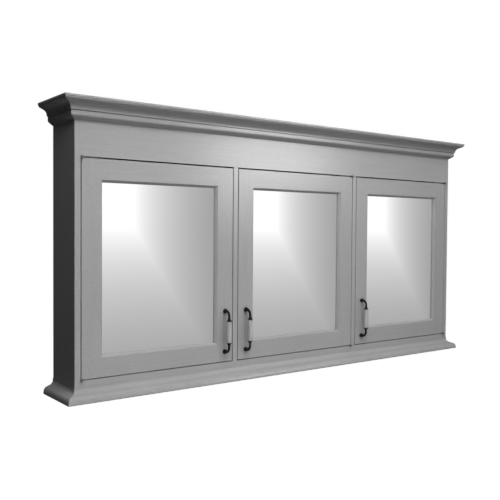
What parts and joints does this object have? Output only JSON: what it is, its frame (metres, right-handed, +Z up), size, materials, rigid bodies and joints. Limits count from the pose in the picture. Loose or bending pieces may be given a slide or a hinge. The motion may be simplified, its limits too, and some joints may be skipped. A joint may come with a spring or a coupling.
{
  "type": "mirrored medicine cabinet",
  "caption": "Wall-hung bathroom medicine cabinet with framed mirror doors on side hinges, a moulded crown and base, inner shelves, and bow handles with ceramic grips.",
  "frame": {"origin": "centre of the hanging rail's back face, on the wall plane", "axes": "+X along the cabinet to the right as seen from the front, +Y into the wall, +Z up; the doors face -Y"},
  "size_m": [1.2668, 0.1494, 0.6223],
  "materials": {
    "grey_paint": "satin grey paint over wood and fibreboard, faint grain",
    "plain_board": "matt sealed board, out of sight on the wall side and behind the mirrors",
    "mirror_glass": "silvered float glass",
    "hinge_steel": "satin",
    "dark_iron": "near-black lacquered antique casting",
    "ceramic_glaze": "glossy off-white glaze"
  },
  "bodies": {
    "carcass": {"left_side_panel": "grey_paint", "right_side_panel": "grey_paint", "left_partition": "grey_paint", "right_partition": "grey_paint", "top_panel": "grey_paint", "bottom_panel": "grey_paint", "back_panel": "plain_board", "head_rail": "grey_paint", "bottom_rail": "grey_paint", "hanging_rail": "plain_board", "lower_back_rail": "plain_board", "crown_front": "grey_paint", "crown_left_return": "grey_paint", "crown_right_return": "grey_paint", "base_front": "grey_paint", "base_left_return": "grey_paint", "base_right_return": "grey_paint", "left_shelf": "grey_paint", "middle_shelf": "grey_paint", "right_shelf": "grey_paint", "left_upper_frame_leaf": "hinge_steel", "left_lower_frame_leaf": "hinge_steel", "middle_upper_frame_leaf": "hinge_steel", "middle_lower_frame_leaf": "hinge_steel", "right_upper_frame_leaf": "hinge_steel", "right_lower_frame_leaf": "hinge_steel"},
    "left_door": {"left_door_left_stile": "grey_paint", "left_door_right_stile": "grey_paint", "left_door_top_rail": "grey_paint", "left_door_bottom_rail": "grey_paint", "left_mirror": "mirror_glass", "left_mirror_backing": "plain_board", "left_upper_door_leaf": "hinge_steel", "left_lower_door_leaf": "hinge_steel", "left_handle_upper_post": "dark_iron", "left_handle_lower_post": "dark_iron", "left_handle_grip": "ceramic_glaze"},
    "middle_door": {"middle_door_left_stile": "grey_paint", "middle_door_right_stile": "grey_paint", "middle_door_top_rail": "grey_paint", "middle_door_bottom_rail": "grey_paint", "middle_mirror": "mirror_glass", "middle_mirror_backing": "plain_board", "middle_upper_door_leaf": "hinge_steel", "middle_lower_door_leaf": "hinge_steel", "middle_handle_upper_post": "dark_iron", "middle_handle_lower_post": "dark_iron", "middle_handle_grip": "ceramic_glaze"},
    "right_door": {"right_door_left_stile": "grey_paint", "right_door_right_stile": "grey_paint", "right_door_top_rail": "grey_paint", "right_door_bottom_rail": "grey_paint", "right_mirror": "mirror_glass", "right_mirror_backing": "plain_board", "right_upper_door_leaf": "hinge_steel", "right_lower_door_leaf": "hinge_steel", "right_handle_upper_post": "dark_iron", "right_handle_lower_post": "dark_iron", "right_handle_grip": "ceramic_glaze"}
  },
  "joints": [
    {"name": "left_door_hinge", "type": "hinge", "parent": "carcass", "child": "left_door", "pos_m": [-0.5845, -0.1185, -0.2989], "axis": [0, 0, -1], "range_deg": [0, 110]},
    {"name": "middle_door_hinge", "type": "hinge", "parent": "carcass", "child": "middle_door", "pos_m": [0.18883, -0.1185, -0.2989], "axis": [0, 0, 1], "range_deg": [0, 110]},
    {"name": "right_door_hinge", "type": "hinge", "parent": "carcass", "child": "right_door", "pos_m": [0.5845, -0.1185, -0.2989], "axis": [0, 0, 1], "range_deg": [0, 110]}
  ]
}
